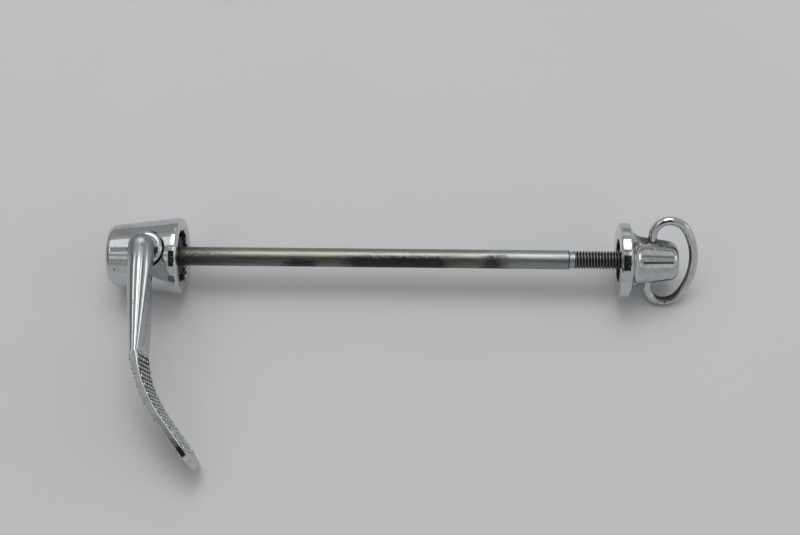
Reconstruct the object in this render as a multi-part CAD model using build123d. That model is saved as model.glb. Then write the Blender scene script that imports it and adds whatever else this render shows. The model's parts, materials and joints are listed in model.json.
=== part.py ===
from build123d import *
from math import asin, atan2, cos, degrees, hypot, radians, sin
import os

# Quick release skewer for a bicycle's front wheel, with its lever closed.
# The rod runs along +X. The origin is on the rod's axis, in the plane of the cam housing's clamping face.
# It lies as it was put down: on the rims of the housing and the nut, and on the tip of the lever.
# Lengths are in millimetres, angles in degrees.

# Clearances
running_play = 0.05
guide_play = 0.2
seat_play = 0.05
end_play = 0.6

# Skewer rod
rod_diameter = 5.0
plain_length = 102.6
neck_diameter = 4.4
neck_length = 1.4
thread_diameter = 4.9
thread_length = 24.0
thread_chamfer = 0.6
spigot_diameter = 4.0
spigot_length = 3.2

# Cam housing
rim_diameter = 20.4
rim_land = 2.1
rim_rounding = 0.8
taper_diameter = 16.1
housing_length = 19.4
end_rounding = 1.8
recess_diameter = 13.5
recess_depth = 2.4
dish_diameter = 16.4
dish_depth = 0.5
cam_setback = 8.0
cam_floor = 5.2
washer_seat = 7.6
seat_diameter = 8.6

# Camshaft, forged in one with the lever
throw = 1.0
cam_diameter = 6.8
journal_diameter = 9.1
tail_diameter = 5.0
tail_reach = 9.2
tail_chamfer = 0.4
hub_height = 10.7
hub_rounding = 0.45
groove_diameter = 4.0

# Cam follower
follower_diameter = 11.4
follower_depth = 1.1
follower_chamfer = 0.5
back_wall = 2.2
eye_play = 0.35

# Lever
arm_diameter = 6.6
arm_lift = 12.5
arm_offset = -0.5
neck_run = 6.0
bend_start = 27.5
bend_radius = 40.0
root_angle = 10.6
bend_angle = 37.5
tip_run = 15.3
paddle_thickness = 1.7
paddle_width = 12.8
paddle_lift = 9.0
paddle_offset = -0.7
tip_rounding = 6.2
edge_rounding = 0.4
arm_flat = 0.15
arm_stations = 4

# Knurl on both faces of the lever's paddle
knurl_pitch = 2.4
knurl_base = 1.5
knurl_height = 0.35
knurl_taper = 30.0
knurl_sink = 0.1
knurl_start = 0.9
knurl_margin = 1.5

# Washer and snap ring on the camshaft's tail
washer_diameter = 8.0
washer_thickness = 0.5
ring_diameter = 7.0
ring_thickness = 0.6
ring_gap = 2.4

# Adjusting nut, which stands off from the plain rod by the neck and thread that show
nut_standoff = 12.8
nut_length = 15.5
flange_diameter = 19.9
flange_thickness = 2.8
flange_chamfer = 0.4
flange_rounding = 0.7
cone_start = 3.9
cone_diameter = 13.1
cone_end_diameter = 9.8
cone_rounding = 2.2
waist_rounding = 1.8
nut_recess_diameter = 11.5
nut_recess_depth = 3.4
hole_setback = 8.4

# Wire loop
wire_diameter = 2.3
loop_height = 25.4
loop_reach = 12.45
shoulder_radius = 4.2
corner_radius = 5.2
wire_gap = 0.35
loop_lean = 50.0
loop_skew = 2.0

# Places along the rod
cam_x = -cam_setback
eye_x = cam_x - throw
eye_half = cam_diameter / 2 + eye_play
follower_back = eye_x - eye_half - back_wall
nut_x = plain_length + nut_standoff
hole_x = nut_x + hole_setback

loop_place = Pos(hole_x, 0, 0) * Rot(X=loop_lean) * Rot(Z=-loop_skew)

# Radii that fit over other pieces
guide_radius = follower_diameter / 2 + guide_play
cam_top = guide_radius - seat_play
cam_bottom = cam_floor - seat_play

# The paddle leaves the arm at an angle and bends on from there, about one centre for both faces
root = radians(root_angle)
bend = radians(bend_angle)
outer_radius = bend_radius + paddle_thickness
mid_radius = bend_radius + paddle_thickness / 2
bend_x = mid_radius * cos(root)
bend_y = mid_radius * sin(root) - bend_start


def touching_lean():
    """Angle at which the rounded corner of the lever's tip comes down to the surface under the rim."""
    tip = mid_radius * sin(bend) - bend_y + (tip_run - tip_rounding) * cos(bend)
    low = paddle_lift - paddle_width / 2 + tip_rounding
    return degrees(atan2(low, tip) + asin((rim_diameter / 2 - tip_rounding) / hypot(low, tip)))


lean = Rot(X=touching_lean())


def rounded(profile, corners):
    """Round the profile's corner at each (x, y), by the radius given with it."""
    for x, y, radius in corners:
        profile = fillet(profile.vertices().sort_by_distance((x, y, 0))[0], radius)
    return profile


def turned(*points):
    """Flat profile of a turned piece: x along the rod and y outwards from its axis."""
    return make_face(Polyline(*points, close=True))


def post(diameter, low, high, x=0.0):
    """Cylinder along the cam's axis, from low to high."""
    return Pos(x, 0, low) * Cylinder(diameter / 2, high - low, align=(Align.CENTER, Align.CENTER, Align.MIN))


def skewer_rod():
    shoulder = -follower_depth
    neck = plain_length + neck_length
    end = neck + thread_length
    profile = turned(
        (shoulder - spigot_length, 0),
        (shoulder - spigot_length, spigot_diameter / 2),
        (shoulder, spigot_diameter / 2),
        (shoulder, rod_diameter / 2),
        (plain_length, rod_diameter / 2),
        (plain_length, neck_diameter / 2),
        (neck, neck_diameter / 2),
        (neck, thread_diameter / 2),
        (end - thread_chamfer, thread_diameter / 2),
        (end, thread_diameter / 2 - thread_chamfer),
        (end, 0),
    )
    return revolve(profile, Axis.X)


def cam_follower():
    """Barrel that slides in the housing, with the cam's eye through it and the rod's spigot in front."""
    outer = follower_diameter / 2
    profile = turned(
        (follower_back, 0),
        (follower_back, outer - follower_chamfer),
        (follower_back + follower_chamfer, outer),
        (-follower_depth - follower_chamfer, outer),
        (-follower_depth, outer - follower_chamfer),
        (-follower_depth, spigot_diameter / 2),
        (-follower_depth - spigot_length, spigot_diameter / 2),
        (-follower_depth - spigot_length, 0),
    )
    barrel = revolve(profile, Axis.X)
    slot = SlotOverall(2 * (eye_half + throw), 2 * eye_half, rotation=90)
    eye = extrude(Pos(eye_x, 0, 0) * slot, amount=follower_diameter, both=True)
    return lean * (barrel - eye)


def cam_housing():
    rim = rim_diameter / 2
    taper = taper_diameter / 2
    recess = recess_diameter / 2
    floor = follower_back - end_play
    profile = turned(
        (floor, 0),
        (floor, guide_radius),
        (-recess_depth, guide_radius),
        (-recess_depth, recess),
        (-dish_depth, recess),
        (0, dish_diameter / 2),
        (0, rim),
        (-rim_land, rim),
        (-housing_length, taper),
        (-housing_length, 0),
    )
    profile = rounded(profile, [(0, rim, rim_rounding), (-housing_length, taper, end_rounding)])
    body = revolve(profile, Axis.X)
    body -= post(journal_diameter + 2 * running_play, -cam_floor, rim, cam_x)
    body -= post(tail_diameter + 2 * running_play, -rim, 0, cam_x)
    body -= post(seat_diameter, -rim, -washer_seat, cam_x)
    return lean * body


def camshaft():
    """Stem, journal, eccentric and tail. The lever is closed, so the eccentric stands back from the rod."""
    ring_top = -washer_seat - washer_thickness - 2 * seat_play
    ring_bottom = ring_top - ring_thickness - seat_play
    journal = post(journal_diameter, cam_top, hub_height)
    journal = fillet(journal.edges().sort_by(Axis.Z)[-1], hub_rounding)
    stem = post(arm_diameter, hub_height - hub_rounding, arm_lift, arm_offset)
    tail = post(tail_diameter, -tail_reach, -cam_bottom)
    tail = chamfer(tail.edges().sort_by(Axis.Z)[0], tail_chamfer)
    tail -= post(tail_diameter, ring_bottom, ring_top) - post(groove_diameter, ring_bottom, ring_top)
    return journal + stem + post(cam_diameter, -cam_bottom, cam_top, -throw) + tail


def arm():
    """Arm from the hub to the paddle: a round bar that flattens and widens along its length."""
    stations = []
    for i in range(arm_stations + 1):
        share = i / arm_stations
        ease = share * share * (3 - 2 * share)
        across = arm_diameter + (paddle_thickness - arm_diameter) * share
        deep = arm_diameter + (paddle_width - arm_diameter) * ease
        turn = root * ease
        side = (paddle_offset - arm_offset) * ease
        along = neck_run + (bend_start - neck_run) * share
        lift = arm_lift + (paddle_lift - arm_lift) * ease
        place = Plane((side, -along, lift), (cos(turn), sin(turn), 0), (sin(turn), -cos(turn), 0))
        stations.append(place * RectangleRounded(across, deep, across / 2 - arm_flat))
    bar = extrude(stations[0], amount=-neck_run)
    knuckle = revolve(split(Pos(0, neck_run, 0) * stations[0], Plane.YZ), Axis.Z, 180)
    return bar + knuckle + loft(stations)


def paddle():
    """Thin blade that curves towards the wheel, with a rounded tip and rounded edges."""
    outer = CenterArc((bend_x, bend_y), outer_radius, 180 + root_angle, bend_angle - root_angle)
    inner = CenterArc((bend_x, bend_y), bend_radius, 180 + root_angle, bend_angle - root_angle)
    outer_tip = outer @ 1 + (outer % 1) * tip_run
    inner_tip = inner @ 1 + (inner % 1) * tip_run
    sides = [
        outer,
        Line(outer @ 1, outer_tip),
        Line(outer_tip, inner_tip),
        Line(inner_tip, inner @ 1),
        inner,
        Line(inner @ 0, outer @ 0),
    ]
    blade = extrude(Pos(0, 0, paddle_lift - paddle_width / 2) * make_face(sides), amount=paddle_width)
    corners = blade.faces().sort_by(Axis.Y)[0].edges().sort_by(SortBy.LENGTH)[:2]
    blade = fillet(corners, tip_rounding)
    broad = blade.faces().sort_by(SortBy.AREA)[-4:]
    rim = [edge for face in broad for edge in face.edges() if edge.bounding_box().size.Z < paddle_width / 2]
    return fillet(rim, edge_rounding)


def knurl():
    """Raised diamonds in staggered rows on both faces of the paddle, clear of its edges."""
    across = paddle_width / 2 - knurl_margin
    columns = int(across / knurl_pitch + 1)
    outline = Rectangle(knurl_base, knurl_base, rotation=45)
    stud = extrude(outline, knurl_height + knurl_sink, taper=knurl_taper)
    studs = []
    for face, radius in ((1, bend_radius), (-1, outer_radius)):
        length = radius * (bend - root) + tip_run
        for row in range(int((length - knurl_margin - knurl_start) / (knurl_pitch / 2)) + 1):
            along = knurl_start + row * knurl_pitch / 2
            turn = min(root + along / radius, bend)
            straight = along - (turn - root) * radius
            x = bend_x - radius * cos(turn) + straight * sin(turn)
            y = bend_y - radius * sin(turn) - straight * cos(turn)
            normal = Vector(cos(turn), sin(turn), 0) * face
            past = max(along - (length - tip_rounding), 0)
            for column in range(-columns, columns + 1):
                z = (column + (row % 2) / 2) * knurl_pitch
                aside = max(abs(z) - (paddle_width / 2 - tip_rounding), 0)
                if abs(z) <= across and hypot(past, aside) <= tip_rounding - knurl_margin:
                    seat = Vector(x, y, paddle_lift + z) - normal * knurl_sink
                    studs.append(Plane(seat, (0, 0, 1), normal) * stud)
    return studs


def lever():
    blade = Pos(paddle_offset, 0, 0) * (paddle() + knurl())
    return lean * Pos(cam_x, 0, 0) * (camshaft() + Pos(arm_offset, 0, 0) * arm() + blade)


def thrust_washer():
    top = -washer_seat - seat_play
    disc = post(washer_diameter, top - washer_thickness, top, cam_x)
    return lean * (disc - post(tail_diameter + 2 * running_play, -tail_reach, 0, cam_x))


def snap_ring():
    top = -washer_seat - washer_thickness - 2 * seat_play
    ring = post(ring_diameter, top - ring_thickness, top, cam_x)
    ring -= post(groove_diameter, top - ring_thickness, top, cam_x)
    ring -= Pos(cam_x + ring_diameter / 2, 0, top) * Box(ring_diameter, ring_gap, 2 * ring_thickness)
    return lean * ring


def adjusting_nut():
    flange = flange_diameter / 2
    bore = thread_diameter / 2 + running_play
    recess = nut_recess_diameter / 2
    end = nut_x + nut_length
    profile = turned(
        (nut_x, recess),
        (nut_x, flange - flange_chamfer),
        (nut_x + flange_chamfer, flange),
        (nut_x + flange_thickness, flange),
        (nut_x + cone_start, cone_diameter / 2),
        (end, cone_end_diameter / 2),
        (end, bore),
        (nut_x + nut_recess_depth, bore),
        (nut_x + nut_recess_depth, recess),
    )
    profile = rounded(
        profile,
        [
            (nut_x + flange_thickness, flange, flange_rounding),
            (nut_x + cone_start, cone_diameter / 2, waist_rounding),
            (end, cone_end_diameter / 2, cone_rounding),
        ],
    )
    body = revolve(profile, Axis.X)
    return body - loop_place * Rot(X=90) * Cylinder(wire_diameter / 2 + running_play, flange_diameter)


def wire_loop():
    """Bent wire whose ends turn in the nut's cross hole: legs, tight shoulders, corners and a long bow."""
    reach = loop_reach - wire_diameter / 2
    top = loop_height / 2 - wire_diameter / 2
    wide = reach - shoulder_radius
    high = top - corner_radius
    bow = (wide**2 + high**2 - corner_radius**2) / (2 * (wide - corner_radius))
    turn = degrees(atan2(high, shoulder_radius - reach + bow))
    start = thread_diameter / 2 + wire_gap
    upper = [
        Line((0, start), (0, top - shoulder_radius)),
        CenterArc((shoulder_radius, top - shoulder_radius), shoulder_radius, 180, -90),
        CenterArc((shoulder_radius, top - corner_radius), corner_radius, 90, turn - 90),
    ]
    middle = CenterArc((reach - bow, 0), bow, turn, -2 * turn)
    lower = [edge.mirror(Plane.XZ) for edge in upper]
    path = loop_place * Wire(upper + [middle] + lower)
    section = Plane(path @ 0, z_dir=path % 0) * Circle(wire_diameter / 2)
    return sweep(section, path)


pieces = {
    "skewer_rod": skewer_rod(),
    "cam_follower": cam_follower(),
    "cam_housing": cam_housing(),
    "lever": lever(),
    "thrust_washer": thrust_washer(),
    "snap_ring": snap_ring(),
    "adjusting_nut": adjusting_nut(),
    "wire_loop": wire_loop(),
}
os.makedirs("parts", exist_ok=True)
for name, piece in pieces.items():
    export_step(piece, f"parts/{name}.step")
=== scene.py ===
import json
from math import asin, atan2, cos, pi, radians, sin, sqrt, tan

import bmesh
import bpy
from bpy.props import FloatProperty, FloatVectorProperty, PointerProperty
from mathutils import Matrix, Vector


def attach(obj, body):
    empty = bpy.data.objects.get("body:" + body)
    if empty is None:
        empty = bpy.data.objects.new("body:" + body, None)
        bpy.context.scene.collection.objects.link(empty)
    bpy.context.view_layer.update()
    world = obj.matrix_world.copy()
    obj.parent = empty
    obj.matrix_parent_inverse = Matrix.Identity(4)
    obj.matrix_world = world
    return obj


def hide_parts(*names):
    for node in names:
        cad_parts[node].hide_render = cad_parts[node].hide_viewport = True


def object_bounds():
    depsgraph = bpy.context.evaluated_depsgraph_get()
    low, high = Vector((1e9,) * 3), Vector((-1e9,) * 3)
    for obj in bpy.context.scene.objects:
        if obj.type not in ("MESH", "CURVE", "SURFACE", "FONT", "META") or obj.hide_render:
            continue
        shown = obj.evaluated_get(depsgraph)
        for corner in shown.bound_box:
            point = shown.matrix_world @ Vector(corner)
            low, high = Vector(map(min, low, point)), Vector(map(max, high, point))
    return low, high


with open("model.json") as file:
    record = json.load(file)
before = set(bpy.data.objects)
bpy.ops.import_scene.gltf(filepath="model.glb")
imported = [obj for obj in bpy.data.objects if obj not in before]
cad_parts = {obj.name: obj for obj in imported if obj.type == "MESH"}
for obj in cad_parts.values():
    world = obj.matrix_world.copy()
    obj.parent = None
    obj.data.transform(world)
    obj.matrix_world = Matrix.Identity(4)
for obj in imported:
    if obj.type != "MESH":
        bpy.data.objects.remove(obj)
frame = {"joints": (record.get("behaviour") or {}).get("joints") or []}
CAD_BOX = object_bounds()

bl_info = {
    "name": "Quick Release Skewer",
    "version": (1, 0, 0),
    "blender": (4, 5, 0),
    "location": "3D View > Sidebar > Skewer",
    "description": "Builds a bicycle wheel's quick release skewer, its finishes and a plain stage",
    "category": "Add Mesh",
}

MM = 0.001
JOINTS = {joint["name"]: joint for joint in frame["joints"]}

# Edges, cuts and counts that no user would change

ARRIS = 0.12 * MM  # broken edges of the plated pieces
STEEL_EDGE = 0.1 * MM  # broken edges of the bare steel pieces
CUT = 20 * MM  # reach of a cutter, well past what it cuts
SAME, WELD = 1e-7, 1e-6  # points closer than these, in metres, are one point
CREASE = radians(32)  # edges sharper than this stay sharp
WIDE_SIDES, SIDES, SMALL_SIDES, HOLE_SIDES = 256, 128, 96, 64  # facets round a piece or a cutter


# Settings

def size(label, millimetres, about):
    """A length that is given in millimetres and kept in metres."""
    return FloatProperty(name=label, description=about, default=millimetres * MM,
                         unit="LENGTH", subtype="DISTANCE", precision=5)


def angle(label, degrees, about):
    """An angle that is given in degrees and kept in radians."""
    return FloatProperty(name=label, description=about, default=radians(degrees),
                         unit="ROTATION", subtype="ANGLE")


def linear(code):
    """Linear colour from an sRGB hex value."""
    parts = [int(code[i:i + 2], 16) / 255 for i in (1, 3, 5)]
    return [p / 12.92 if p <= 0.04045 else ((p + 0.055) / 1.055) ** 2.4 for p in parts]


def tint(label, code, about):
    """A colour that is given as an sRGB hex value."""
    return FloatVectorProperty(name=label, description=about, default=linear(code),
                               size=3, subtype="COLOR", min=0, max=1)


class RodSettings(bpy.types.PropertyGroup):
    """Sizes of the skewer's rod, its thread and the cam follower on its inner end"""
    rod_diameter: size("Rod diameter", 5.0, "Drawn rod that passes through the hub's axle")
    plain_length: size("Plain length", 102.6, "Clamping face to the end of the plain rod")
    neck_diameter: size("Neck diameter", 4.4, "Turned neck between the plain rod and the thread")
    neck_length: size("Neck length", 1.4, "Length of the turned neck")
    thread_diameter: size("Thread diameter", 4.9, "Across the crests of the rolled thread")
    thread_depth: size("Thread depth", 0.46, "Crest to root of the rolled thread")
    thread_pitch: size("Thread pitch", 0.8, "Crest to crest along the rod")
    thread_length: size("Thread length", 24.0, "Neck to the far end of the thread")
    spigot_diameter: size("Spigot diameter", 4.0, "Stub of the rod inside the follower")
    spigot_length: size("Spigot length", 3.2, "Length of the stub inside the follower")
    follower_diameter: size("Follower diameter", 11.4, "Barrel that slides in the housing")
    follower_depth: size("Follower depth", 1.1, "Clamping face back to the follower's front")
    follower_back: size("Follower back", 14.95, "Clamping face back to the follower's rear end")
    follower_chamfer: size("Follower chamfer", 0.5, "Chamfer on both ends of the follower")
    eye_half_width: size("Eye half width", 3.75, "Half of the follower's eye along the rod")
    eye_half_length: size("Eye half length", 4.75, "Half of the follower's eye across the rod")
    throw: size("Throw", 1.0, "Eccentric's offset from the lever's axis")


class HousingSettings(bpy.types.PropertyGroup):
    """Sizes of the tapered cam housing"""
    rim_diameter: size("Rim diameter", 20.4, "Widest land, at the mouth")
    rim_land: size("Rim land", 2.1, "Length of the cylindrical land behind the clamping face")
    rim_rounding: size("Rim rounding", 0.8, "Radius round the clamping face")
    taper_diameter: size("Taper diameter", 16.1, "Across the small end of the taper")
    housing_length: size("Housing length", 19.4, "Clamping face to the closed end")
    end_rounding: size("End rounding", 1.8, "Radius round the closed end")
    bore_diameter: size("Bore diameter", 11.8, "Bore that the follower slides in")
    bore_depth: size("Bore depth", 15.55, "Clamping face to the floor of the bore")
    recess_diameter: size("Recess diameter", 13.5, "Step in the mouth")
    recess_depth: size("Recess depth", 2.4, "Depth of the step in the mouth")
    dish_diameter: size("Dish diameter", 16.4, "Inner edge of the clamping face")
    dish_depth: size("Dish depth", 0.5, "Depth of the dished mouth")
    cam_floor: size("Cam floor", 5.2, "Rod's axis down to the floor of the journal's bore")
    washer_seat: size("Washer seat", 7.6, "Rod's axis down to the flat under the washer")
    seat_diameter: size("Seat diameter", 8.6, "Across the washer's flat")
    running_play: size("Running play", 0.05, "Radial play of the camshaft in the housing")


class LeverSettings(bpy.types.PropertyGroup):
    """Sizes of the cam lever, from its camshaft to the paddle's tip"""
    cam_diameter: size("Eccentric diameter", 6.8, "Eccentric that draws the follower")
    journal_diameter: size("Journal diameter", 9.1, "Camshaft's journal, whose end shows as a disc")
    journal_low: size("Journal low", 5.85, "Rod's axis up to the underside of the journal")
    hub_height: size("Hub height", 10.7, "Rod's axis up to the top of the disc")
    hub_rounding: size("Hub rounding", 1.1, "Radius round the top of the disc")
    tail_diameter: size("Tail diameter", 5.0, "Camshaft's tail")
    tail_start: size("Tail start", 5.15, "Rod's axis down to the top of the tail")
    tail_reach: size("Tail reach", 9.2, "Rod's axis down to the end of the tail")
    tail_chamfer: size("Tail chamfer", 0.4, "Chamfer on the end of the tail")
    groove_diameter: size("Groove diameter", 4.0, "Root of the snap ring's groove")
    groove_low: size("Groove low", 8.85, "Rod's axis down to the groove's lower side")
    groove_high: size("Groove high", 8.2, "Rod's axis down to the groove's upper side")
    washer_diameter: size("Washer diameter", 8.0, "Across the thrust washer")
    washer_thickness: size("Washer thickness", 0.5, "Thickness of the thrust washer")
    washer_low: size("Washer low", 8.15, "Rod's axis down to the underside of the washer")
    ring_diameter: size("Ring diameter", 7.0, "Across the snap ring")
    ring_thickness: size("Ring thickness", 0.6, "Thickness of the snap ring")
    ring_low: size("Ring low", 8.8, "Rod's axis down to the underside of the snap ring")
    ring_gap: size("Ring gap", 2.4, "Opening of the snap ring")
    arm_diameter: size("Arm diameter", 6.6, "Round bar where the arm leaves the hub")
    arm_flat: size("Arm flat", 0.15, "Flat left on each side of the rounded arm, to its middle")
    root_run: size("Root run", 9.0, "Length in which the paddle's edges turn from round to flat")
    root_swell: size("Root swell", 0.8, "Extra thickness on the inner side of the paddle's root")
    arm_lift: size("Arm lift", 12.5, "Rod's axis up to the middle of the bar")
    arm_offset: size("Arm offset", -0.5, "Bar's middle from the cam's axis, along the rod")
    neck_run: size("Neck run", 6.0, "Length of the plain bar")
    bend_start: size("Bend start", 27.5, "Cam's axis to the paddle's root")
    bend_radius: size("Bend radius", 40.0, "Radius of the paddle's inner face")
    root_angle: angle("Root angle", 10.6, "Turn towards the wheel at the paddle's root")
    bend_angle: angle("Bend angle", 37.5, "Turn towards the wheel at the end of the bend")
    tip_run: size("Tip run", 15.3, "Straight end of the paddle")
    paddle_thickness: size("Paddle thickness", 1.7, "Thickness of the paddle")
    paddle_width: size("Paddle width", 12.8, "Depth of the paddle, along the cam's axis")
    paddle_lift: size("Paddle lift", 9.0, "Rod's axis up to the middle of the paddle")
    paddle_offset: size("Paddle offset", -0.7, "Paddle's root from the cam's axis, along the rod")
    tip_rounding: size("Tip rounding", 6.2, "Corner radius of the paddle's tip")
    edge_rounding: size("Edge rounding", 0.22, "Radius round the paddle's edges")
    tip_edge: size("Tip edge rounding", 0.4, "Radius round the edges of the paddle's tip")
    knurl_pitch: size("Knurl pitch", 2.4, "Spacing of the knurl's points across the paddle")
    knurl_width: size("Knurl width", 1.5, "Side of one point's square base")
    knurl_height: size("Knurl height", 0.42, "Height of the knurl's points")
    knurl_start: size("Knurl start", 0.9, "Paddle's root to the first row of points")
    knurl_margin: size("Knurl margin", 0.25, "Plain edge left along the knurl")
    knurl_end: size("Knurl end", 4.6, "Smooth end of the paddle, past the knurl")


class NutSettings(bpy.types.PropertyGroup):
    """Sizes of the flanged, conical adjusting nut"""
    face_x: size("Clamping face", 115.4, "Housing's clamping face to the nut's")
    nut_length: size("Nut length", 15.5, "Length over all")
    flange_diameter: size("Flange diameter", 19.9, "Across the flange")
    flange_thickness: size("Flange thickness", 2.8, "Length of the flange")
    flange_chamfer: size("Flange chamfer", 0.4, "Chamfer round the clamping face")
    flange_rounding: size("Flange rounding", 0.7, "Radius round the back of the flange")
    cone_start: size("Cone start", 3.9, "Clamping face to the root of the cone")
    cone_diameter: size("Cone diameter", 13.1, "Across the cone's root")
    cone_end_diameter: size("Cone end diameter", 9.8, "Across the cone's end")
    cone_rounding: size("Cone rounding", 2.2, "Radius round the cone's end")
    waist_rounding: size("Waist rounding", 3.8, "Hollow radius between flange and cone")
    recess_diameter: size("Recess diameter", 11.5, "Recess in the clamping face")
    recess_depth: size("Recess depth", 3.4, "Depth of that recess")
    bore_diameter: size("Bore diameter", 5.0, "Threaded bore")
    hole_diameter: size("Cross hole", 2.4, "Hole for the ends of the wire loop")


class LoopSettings(bpy.types.PropertyGroup):
    """Sizes of the wire finger loop"""
    wire_diameter: size("Wire diameter", 2.3, "Across the wire")
    wire_gap: size("Wire gap", 2.8, "Nut's axis to the end of each leg in the cross hole")
    loop_height: size("Loop height", 25.4, "Across the loop, outside, along the cross hole")
    loop_reach: size("Loop reach", 12.45, "Cross hole's axis to the outside of the bow")
    shoulder_radius: size("Shoulder radius", 4.2, "Bend where a leg leaves the hole, mid-wire")
    corner_radius: size("Corner radius", 5.2, "Bend between a shoulder and the bow, mid-wire")


class FinishSettings(bpy.types.PropertyGroup):
    """Colours of the finishes"""
    plate: tint("Chromium plate", "#CCCFD1", "Bright plate")
    haze: tint("Hazy plate", "#B3B6B8", "Plate dulled by fine wear")
    worn: tint("Worn plate", "#8A8E91", "Matt, thin plate over the forging")
    pit: tint("Pit", "#191612", "Rusted pits in the plate")
    stain: tint("Rust stain", "#7A6A55", "Brown bloom round the pits")
    steel: tint("Drawn steel", "#A9ADAE", "Clean part of the rod")
    # Soot also serves as painted shade on the rod's lower side
    soot_and_shade: tint("Sooty film", "#4B4A45", "Thin, dark film on the rod")
    patina: tint("Patina", "#999991", "Olive film of old grease on the rod")
    grease: tint("Grease", "#131211", "Thick, dirty grease")
    zinc: tint("Zinc", "#A3ADB3", "Plate left on the rod's neck")


class StageSettings(bpy.types.PropertyGroup):
    """Camera, floor and light"""
    floor: tint("Floor", "#DDDEE0", "Pale floor")
    azimuth: angle("Azimuth", 6.2056, "Camera's turn about the vertical")
    elevation: angle("Elevation", 64.522, "Camera's height above the floor")
    roll: angle("Roll", -5.0134, "Camera's turn about its own axis")
    lens: FloatProperty(name="Lens", description="Focal length on a 36 mm sensor",
                        default=59.786, unit="CAMERA")
    distance: size("Distance", 351.54, "Camera to the point that it looks at")
    target_x: size("Target X", 58.012, "Point that the camera looks at, along the rod")
    target_y: size("Target Y", -2.729, "Point that the camera looks at, across the rod")


# Mesh work

def object_from(bm, name):
    """A new object, at the origin, from the mesh being built."""
    mesh = bpy.data.meshes.new(name)
    bm.to_mesh(mesh)
    bm.free()
    piece = bpy.data.objects.new(name, mesh)
    bpy.context.scene.collection.objects.link(piece)
    return piece


def settle(piece):
    """Turn the evaluated object into its plain mesh and take the modifiers off."""
    graph = bpy.context.evaluated_depsgraph_get()
    mesh = bpy.data.meshes.new_from_object(piece.evaluated_get(graph))
    piece.modifiers.clear()
    old, piece.data = piece.data, mesh
    bpy.data.meshes.remove(old)
    mesh.name = piece.name


def combine(piece, others, operation):
    """Cut the other objects from the piece, or join them to it, and delete them."""
    for other in others:
        modifier = piece.modifiers.new("Boolean", "BOOLEAN")
        modifier.operation = operation
        modifier.solver = "EXACT"
        modifier.object = other
    settle(piece)
    for other in others:
        bpy.data.meshes.remove(other.data)


def finish_piece(piece, material, body, slot, *nodes):
    """Shade the piece, give it its material and set it on its body."""
    bm = bmesh.new()
    bm.from_mesh(piece.data)
    bmesh.ops.remove_doubles(bm, verts=bm.verts, dist=SAME)
    bmesh.ops.recalc_face_normals(bm, faces=bm.faces)
    bm.to_mesh(piece.data)
    bm.free()
    piece.data.shade_smooth()
    piece.data.set_sharp_from_angle(angle=CREASE)
    normals = piece.modifiers.new("Normals", "WEIGHTED_NORMAL")
    normals.keep_sharp = True
    normals.weight = 100
    settle(piece)
    piece.data.materials.clear()
    piece.data.materials.append(material)
    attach(piece, body)
    if nodes:
        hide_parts(*nodes)


def rounded(corners, steps=8):
    """Points of a profile whose corners (x, radius, rounding) are rounded."""
    points = []
    for i, (x, r, rounding) in enumerate(corners):
        here = Vector((x, r))
        if not rounding:
            points.append(here)
            continue
        before = (Vector(corners[i - 1][:2]) - here).normalized()
        after = (Vector(corners[(i + 1) % len(corners)][:2]) - here).normalized()
        half = before.angle(after) / 2
        centre = here + (before + after).normalized() * rounding / sin(half)
        first = here + before * rounding / tan(half) - centre
        last = here + after * rounding / tan(half) - centre
        start = atan2(first.y, first.x)
        turn = (atan2(last.y, last.x) - start + pi) % (2 * pi) - pi
        for k in range(steps + 1):
            a = start + turn * k / steps
            points.append(centre + Vector((cos(a), sin(a))) * rounding)
    return points


def turned(name, profile, sides, closed=False):
    """An object turned about the X axis from its profile of (x, radius) points."""
    bm = bmesh.new()
    rings = []
    for x, r in profile:
        count = sides if r > SAME else 1
        turns = [2 * pi * i / count for i in range(count)]
        rings.append([bm.verts.new((x, r * cos(t), r * sin(t))) for t in turns])
    if closed:
        rings.append(rings[0])
    for low, high in zip(rings, rings[1:]):
        for i in range(sides):
            corners = [low[i % len(low)], low[(i + 1) % len(low)],
                       high[(i + 1) % len(high)], high[i % len(high)]]
            corners = list(dict.fromkeys(corners))
            if len(corners) > 2:
                bm.faces.new(corners)
    bmesh.ops.recalc_face_normals(bm, faces=bm.faces)
    return object_from(bm, name)


def cylinder(name, diameter, low, high, place, sides=SIDES):
    """A plain cylinder about the Z axis of a place, for cutting."""
    piece = turned(name, [(low, 0), (low, diameter / 2), (high, diameter / 2), (high, 0)], sides)
    piece.data.transform(place @ Z_FROM_X)
    return piece


def grid_faces(bm, rows, wrap):
    """Quads between rows of vertices."""
    for low, high in zip(rows, rows[1:]):
        count = len(low) if wrap else len(low) - 1
        for i in range(count):
            j = (i + 1) % len(low)
            bm.faces.new((low[i], low[j], high[j], high[i]))


def corner_inset(gap, rounding):
    """How far a rounded corner draws an edge in, at a gap from the end."""
    if gap >= rounding:
        return 0.0
    return rounding - sqrt(max(0.0, rounding ** 2 - (rounding - gap) ** 2))


# Places that the joints give: the lever's leaning axis, with the ways back from the paddle and up
# along that axis, and the loop's cross hole

Z_FROM_X = Matrix.Rotation(-pi / 2, 4, "Y")
HINGE = JOINTS["lever_swing"]
LEAN = asin(HINGE["axis"][1])
CAM = Matrix.Translation(HINGE["pos_m"]) @ Matrix.Rotation(LEAN, 4, "X")
CAM_BACK, CAM_RISE = (0.0, cos(LEAN), sin(LEAN)), (0.0, -sin(LEAN), cos(LEAN))


def hole_place():
    """Place of the cross hole: Y along the hole, X towards the loop's bow."""
    y = Vector(JOINTS["loop_swing"]["axis"]).normalized()
    x = (Vector((1, 0, 0)) - y * y.x).normalized()
    turn = Matrix((x, y, x.cross(y))).transposed().to_4x4()
    return Matrix.Translation(JOINTS["loop_swing"]["pos_m"]) @ turn


# Node trees

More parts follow.
